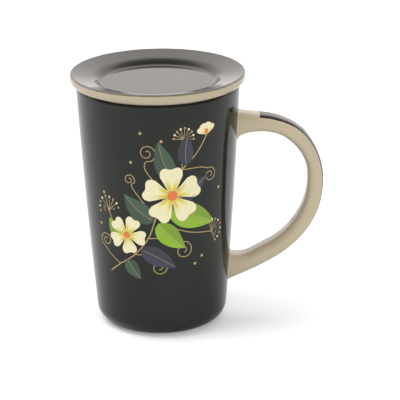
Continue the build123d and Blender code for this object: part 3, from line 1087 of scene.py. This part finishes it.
class Ink:
    """Flat patches of enamel, bent onto the cup's wall, with a colour for each point.

    A place is (u, v): the way round the wall from its front and the height, in millimetres. They are
    scaled about the height of 80.
    """

    def __init__(self, cup, sizes):
        self.cup, self.sizes = cup, sizes
        self.spots, self.faces, self.tones = [], [], []

    def patch(self, layer, rows):
        """Adds rows of (place, colour). Each row runs leftwards, as seen along the rows' order."""
        first, across = len(self.spots), len(rows[0])
        for row in rows:
            for (u, v), tone in row:
                height = self.sizes.middle + (v - 80) * MM * self.sizes.scale
                radius = cup_radius(self.cup, height) + self.sizes.lift + layer * self.sizes.layer
                turn = radians(-90) + self.sizes.turn + u * MM * self.sizes.scale / radius
                self.spots.append((radius * cos(turn), radius * sin(turn), height))
                self.tones.append((*tone, 1.0))
        for row in range(len(rows) - 1):
            for step in range(across - 1):
                corner = first + row * across + step
                self.faces.append((corner, corner + across, corner + across + 1, corner + 1))

    def petal(self, spot, turn, reach, half_angle, colours, layer=3):
        """A rounded petal with a small notch, yellow at its heart."""
        rows = []
        for step in range(1, 9):
            out = step / 8
            row = []
            for side in range(-7, 8):
                share_across = side / 7
                edge = 0.25 + 0.75 * sqrt(max(0.0, 1 - share_across**4))
                edge -= 0.1 * exp(-((share_across / 0.28) ** 2))
                heart = smooth(0.62, 0.2, out + 0.12 * cos(5 * share_across))
                tone = blend(colours.petal, colours.petal_heart, heart)
                place = spot + polar(turn + half_angle * share_across, reach * edge * out)
                row.append((place, tone))
            rows.append(row)
        self.patch(layer, rows)

    def leaf(self, spot, turn, reach, half_width, tone, bend=0.0, layer=1):
        """A leaf with a drawn-out tip and a darker half. It gives back the places along its midrib, where a
        line goes.
        """
        rib, rows = [], []
        for step in range(15):
            along = step / 14
            width = half_width * sin(pi * along**0.72) ** 0.85 if 0 < step < 14 else 0.03
            middle = spot + polar(turn + bend * along, reach * along)
            aside = polar(turn + 2 * bend * along + radians(90), 1.0)
            row = []
            for side in range(-4, 5):
                shade = blend(tone, [c * 0.72 for c in tone], smooth(-0.1, 0.15, side / 4))
                row.append((middle + aside * (width * side / 4), shade))
            rows.append(row)
            rib.append(middle)
        self.patch(layer, rows)
        return rib

    def line(self, places, tone, width=1.0, layer=0):
        """A drawn line of even width."""
        half = self.sizes.line / MM / 2 * width
        rows = []
        for number, place in enumerate(places):
            ahead = places[min(number + 1, len(places) - 1)] - places[max(number - 1, 0)]
            aside = Vector((-ahead.y, ahead.x)).normalized() * half
            rows.append([(place - aside, tone), (place + aside, tone)])
        self.patch(layer, rows)

    def dot(self, spot, radius, tone, layer=4):
        rows = []
        for out in (0.04, 0.6, 1.0):
            rows.append([(spot + polar(FULL_TURN * n / 14, radius * out), tone) for n in range(15)])
        self.patch(layer, rows)


def polar(turn, reach):
    return Vector((cos(turn), sin(turn))) * reach


def smooth(start, stop, value):
    share_done = max(0.0, min(1.0, (value - start) / (stop - start)))
    return share_done * share_done * (3 - 2 * share_done)


def blend(first, second, factor):
    return [a + (b - a) * factor for a, b in zip(first, second)]


def curve_through(corners, step=0.9):
    """A smooth line of places through the corners, about a step apart."""
    corners = [Vector(corner) for corner in corners]
    ends = [2 * corners[0] - corners[1], *corners, 2 * corners[-1] - corners[-2]]
    places = []
    for a, b, c, d in zip(ends, ends[1:], ends[2:], ends[3:]):
        parts = max(2, ceil((c - b).length / step))
        for part in range(parts):
            t = part / parts
            square, cube = 2 * a - 5 * b + 4 * c - d, 3 * b - a - 3 * c + d
            places.append((2 * b + (c - a) * t + square * t**2 + cube * t**3) / 2)
    return [*places, corners[-1]]


def curl(centre, radius, start, turns):
    """Corners of a spiral that winds in to its centre."""
    steps = ceil(abs(turns) * 8)
    return [
        Vector(centre) + polar(radians(start) + FULL_TURN * turns * n / steps, radius * (1 - 0.8 * n / steps))
        for n in range(steps + 1)
    ]


class MUG_OT_print(bpy.types.Operator):
    """Prints a sprig of blossoms, leaves and tendrils on the wall's front"""

    bl_idname = "mug.print"
    bl_label = "Print"

    def execute(self, context):
        scene = context.scene
        colours = scene.mug_colours
        ink = Ink(scene.mug_cup, scene.mug_print)
        stem = [(-27, 42), (-21, 47), (-13, 53), (-6, 62), (-2, 73), (3, 85), (11, 97), (19, 105), (25, 114)]
        ink.line(curve_through(stem), colours.gold, 1.3)
        tendrils = [
            [(-21, 47), (-27, 51), *curl((-29.5, 58), 4.2, -100, -1.6)],
            [(-13, 53), (-6, 53), *curl((-1, 46.5), 4.6, 120, -1.6)],
            [(-6, 62), (4, 62), *curl((11, 55), 5.0, 110, -1.5)],
            [(3, 85), (-6, 96), *curl((-6, 106), 4.8, -100, 1.6)],
            [(11, 97), (20, 97), *curl((26, 92), 4.0, 110, -1.5)],
            [(-2, 73), (-10, 83), *curl((-15, 92), 3.2, -70, 1.5)],
        ]
        for tendril in tendrils:
            ink.line(curve_through(tendril), colours.gold)
        leaves = [
            ((4, 76), -14, 26, 6.6, colours.lime, -6),
            ((-1, 70), -58, 19, 5.2, colours.lime, 12),
            ((6, 92), 118, 21, 4.8, colours.teal, -10),
            ((-3, 71), 152, 20, 5.0, colours.teal, -14),
            ((1, 79), 20, 27, 4.6, colours.navy, 10),
            ((-10, 56), -22, 20, 4.6, colours.navy, -8),
            ((-17, 50), -64, 12, 3.6, colours.teal, 10),
            ((13, 99), 96, 16, 4.0, colours.navy, -10),
            ((-19, 60), 140, 13, 3.8, colours.lime, -12),
        ]
        for spot, turn, reach, half_width, tone, bend in leaves:
            rib = ink.leaf(Vector(spot), radians(turn), reach, half_width, tone, radians(bend))
            ink.line(rib[1:-1], blend(tone, colours.gold, 0.55), 0.7, layer=2)
        for spot, turn, reach in (((-27, 74), 108, 7.5), ((27, 62), 20, 7.0), ((12, 112), 84, 6.0)):
            seed_head(ink, Vector(spot), radians(turn), reach, colours)
        stalks = [
            [(-17, 64), (-24, 68), (-27, 74)],
            [(4, 68), (15, 64), (27, 62)],
            [(11, 97), (11, 104), (12, 112)],
        ]
        for stalk in stalks:
            ink.line(curve_through(stalk), colours.gold)
        blossom(ink, Vector((6, 84)), 15.0, 5, 20, colours)
        blossom(ink, Vector((-17, 63)), 10.2, 5, -8, colours)
        blossom(ink, Vector((24.5, 113)), 6.4, 3, 62, colours)
        for spot in ((-33, 66), (-30, 83), (17, 47), (21, 50.5), (-9, 116), (1, 112), (32, 84), (-14, 101)):
            ink.dot(Vector(spot), 0.75, colours.gold)
        mesh = new_mesh("print", ink.spots, ink.faces)
        tones = [channel for tone in ink.tones for channel in tone]
        mesh.color_attributes.new("ink", "FLOAT_COLOR", "POINT").data.foreach_set("color", tones)
        new_piece("print", mesh, [enamel(colours)], "mug")
        return {"FINISHED"}


def blossom(ink, spot, reach, petals, turn, colours):
    """A round blossom, or a bud where it has few petals, with stamens in its middle."""
    spread = radians(72 if petals == 5 else 38)
    for number in range(petals):
        ink.petal(spot, radians(turn) + spread * number, reach, radians(34), colours, 3 + number % 2)
    middle = spot + polar(radians(turn) + spread, 0.3 * reach) if petals < 5 else spot
    ink.dot(middle, 0.17 * reach, colours.stamen, 5)
    for number in range(2 * petals):
        way = radians(turn + 18) + FULL_TURN * number / (2 * petals)
        inner = middle + polar(way, 0.12 * reach)
        outer = middle + polar(way, (0.3 + 0.06 * (number % 2)) * reach)
        ink.line([inner, (inner + outer) / 2, outer], colours.stamen, 0.028 * reach, 5)
        ink.dot(outer, 0.035 * reach, colours.petal_heart, 6)


def seed_head(ink, spot, turn, reach, colours):
    """A fan of fine rays, each with a dot at its end."""
    for number in range(-4, 5):
        way = turn + radians(21) * number
        end = spot + polar(way, reach * (1 - 0.04 * abs(number)))
        ink.line([spot, (spot + end) / 2, end], colours.gold, 0.7)
        ink.dot(end, 0.55, colours.petal if number % 2 else colours.gold)


# ---- Stage ----


SENSOR_WIDTH = 36.0  # of the camera, in millimetres
FLOOR_DROP = 0.05 * MM  # keeps the floor clear of the foot ring's face
LIGHTS_TARGET = (0, 0, 0.05)

# What the floor adds to its own light: between these distances from the mug it grows by this share
FAR_START, FAR_STOP, FAR_GLOW = 0.5, 1.5, 0.6
GLOSS_SHARE = 0.15  # how much of that the gloss sees

# What the gloss sees of the room: elevation over the horizon behind the mug, in degrees, and strength
ROOM_GLOW = [
    (0, 1.6),
    (8, 1.65),
    (16, 1.6),
    (30, 1.8),
    (45, 1.95),
    (52, 2.0),
    (70, 0.95),
    (100, 0.32),
    (180, 0.4),
]


class MUG_OT_stage(bpy.types.Operator):
    """Lays the floor and sets the lights and the camera"""

    bl_idname = "mug.stage"
    bl_label = "Stage"

    def execute(self, context):
        scene, stage = context.scene, context.scene.mug_stage
        scene.view_settings.view_transform = "Standard"
        camera_at_target(scene, stage)
        half = stage.floor_size / 2
        corners = [(-half, -half), (half, -half), (half, half), (-half, half)]
        mesh = new_mesh("floor", [(x, y, -FLOOR_DROP) for x, y in corners], [(0, 1, 2, 3)])
        mesh.materials.append(floor_paint(stage))
        floor = new_object("floor", mesh)
        room(scene, stage)
        softbox("left_light", (-0.7, 0, 1.212), stage.light_size, stage.left_power)
        softbox("back_light", (0.495, 0.495, 1.212), stage.light_size, stage.back_power)
        softbox("front_light", (0.4145, -1.139, 0.7), stage.light_size, stage.front_power)
        return {"FINISHED"}


def camera_at_target(scene, stage):
    data = bpy.data.cameras.new("camera")
    data.lens, data.sensor_width = stage.focal_length, SENSOR_WIDTH
    camera = new_object("camera", data)
    back = Vector((0, -cos(stage.elevation), sin(stage.elevation)))
    right = Vector((1, 0, 0))
    level = Matrix((right, back.cross(right), back))
    roll = Matrix.Rotation(stage.roll, 3, "Z")
    towards = Vector((stage.aside * SENSOR_WIDTH, stage.above * SENSOR_WIDTH, -stage.focal_length))
    swing = Vector((0, 0, -1)).rotation_difference(towards.normalized()).to_matrix()
    turn = (swing @ roll @ level).transposed()
    place = Vector((0, 0, stage.target_height)) + back * stage.distance
    camera.matrix_world = Matrix.Translation(place) @ turn.to_4x4()
    scene.camera = camera


def floor_paint(stage):
    """Matt pale paint that the camera and the gloss see as white where no shadow falls."""
    material, net, place = new_material("floor_paint")
    x, y, _ = net.split(place)
    far = ((x * x + y * y) ** 0.5).ramp(FAR_START, FAR_STOP)
    grain = net.noise(place, 300.0)
    tone = net.mix(grain, stage.floor_colour, [c * 0.985 for c in stage.floor_colour])
    paint = net.add("ShaderNodeBsdfDiffuse", {"Color": tone})
    glow = net.add("ShaderNodeEmission", {"Strength": 1.0})
    hidden = net.add("ShaderNodeMixShader", {0: sight(net) * (stage.floor_glow + FAR_GLOW * far), 2: glow})
    both = net.add("ShaderNodeAddShader", {0: paint, 1: hidden})
    net.add("ShaderNodeOutputMaterial", {"Surface": both})
    return material


def ray(net, kind):
    """1 for the rays of one kind, and 0 for the others."""
    return net.add("ShaderNodeLightPath", out=f"Is {kind} Ray")


def sight(net):
    """1 for rays from the camera or through glass, less for a gloss, and 0 for the light itself."""
    return ray(net, "Camera").most(ray(net, "Transmission")).most(ray(net, "Glossy") * GLOSS_SHARE)


def room(scene, stage):
    """Even light from all round, and a white backdrop, brighter behind the mug where the gloss sees it."""
    world = bpy.data.worlds.new("room")
    world.use_nodes = True
    net = Net(world.node_tree)
    _, y, z = net.split(net.add("ShaderNodeTexCoord", out="Generated"))
    glossy, camera = ray(net, "Glossy"), ray(net, "Camera")
    turn = z.maths("ARCTAN2", z, y) / pi
    top = 3  # a ramp's colours end at 1, so it holds the strengths as shares of this
    stops = [(place / 180, (level / top,) * 3) for place, level in ROOM_GLOW]
    glow = top * net.add("ShaderNodeValToRGB", {0: turn}, stops=stops)
    strength = camera + (1 - camera) * (glossy * glow + (1 - glossy) * stage.room_light)
    tint = net.mix(glossy, (1, 1, 1), stage.gloss_tint)
    light = net.add("ShaderNodeBackground", {"Color": tint, "Strength": strength})
    net.add("ShaderNodeOutputWorld", {"Surface": light})
    scene.world = world


def softbox(name, place, size, power):
    """A square soft light. The gloss sees the room in its place, which is as bright there."""
    data = bpy.data.lights.new(name, "AREA")
    data.shape, data.size, data.energy = "SQUARE", size, power
    light = new_object(name, data)
    light.location = place
    light.rotation_euler = (Vector(LIGHTS_TARGET) - Vector(place)).to_track_quat("-Z", "Y").to_euler()
    light.visible_glossy = False


# ---- Panel and registration ----

OPERATORS = [
    MUG_OT_cup,
    MUG_OT_handle,
    MUG_OT_lid,
    MUG_OT_basket,
    MUG_OT_welds,
    MUG_OT_print,
    MUG_OT_stage,
]


class MUG_PT_panel(bpy.types.Panel):
    bl_idname = "MUG_PT_panel"
    bl_label = "Tea mug"
    bl_space_type = "VIEW_3D"
    bl_region_type = "UI"
    bl_category = "Tea mug"

    def draw(self, context):
        for operator in OPERATORS:
            self.layout.operator(operator.bl_idname)
        for name, group in GROUPS.items():
            box = self.layout.box()
            for prop in group.__annotations__:
                box.prop(getattr(context.scene, name), prop)


def register():
    for cls in [*GROUPS.values(), *OPERATORS, MUG_PT_panel]:
        bpy.utils.register_class(cls)
    for name, group in GROUPS.items():
        setattr(bpy.types.Scene, name, bpy.props.PointerProperty(type=group))


def unregister():
    for name in GROUPS:
        delattr(bpy.types.Scene, name)
    for cls in [MUG_PT_panel, *OPERATORS[::-1], *list(GROUPS.values())[::-1]]:
        bpy.utils.unregister_class(cls)


def main():
    register()
    bpy.ops.mug.stage()
    bpy.ops.mug.cup()
    bpy.ops.mug.handle()
    bpy.ops.mug.lid()
    bpy.ops.mug.basket()
    bpy.ops.mug.welds()
    bpy.ops.mug.print()


if __name__ == "__main__":
    main()
